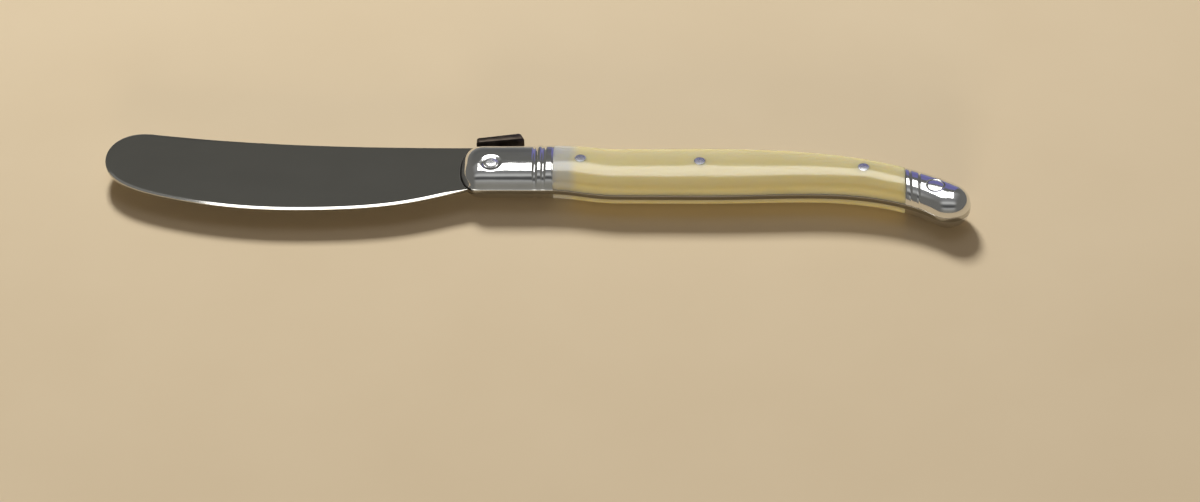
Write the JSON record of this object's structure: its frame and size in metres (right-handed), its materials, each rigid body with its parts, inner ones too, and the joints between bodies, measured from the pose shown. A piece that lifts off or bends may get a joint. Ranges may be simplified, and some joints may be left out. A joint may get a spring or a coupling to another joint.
{
  "type": "butter knife",
  "caption": "Fixed butter spreader with a round-ended blade, full-length tang, metal bolsters and pinned pale scales on a curved handle.",
  "frame": {"origin": "middle of the bottom of the knife's box, as it lies on its side", "axes": "+X towards the handle's end, tip of the blade at -X; +Y towards the back of the blade; +Z along the thickness"},
  "size_m": [0.1612, 0.0242, 0.0076],
  "materials": {
    "blade_steel": "fine satin polish",
    "bolster": "mirror polished",
    "scale": "polished, slightly translucent",
    "pin": "ground flush",
    "rivet": "polished",
    "plate": "darkened steel"
  },
  "bodies": {
    "root": {"blade_and_tang": "blade_steel", "front_bolster_upper": "bolster", "front_bolster_lower": "bolster", "rear_bolster_upper": "bolster", "rear_bolster_lower": "bolster", "scale_upper": "scale", "scale_lower": "scale", "front_bolster_rivet": "rivet", "rear_bolster_rivet": "rivet", "spine_plate": "plate", "scale_pin_front": "pin", "scale_pin_middle": "pin", "scale_pin_rear": "pin"}
  },
  "joints": []
}
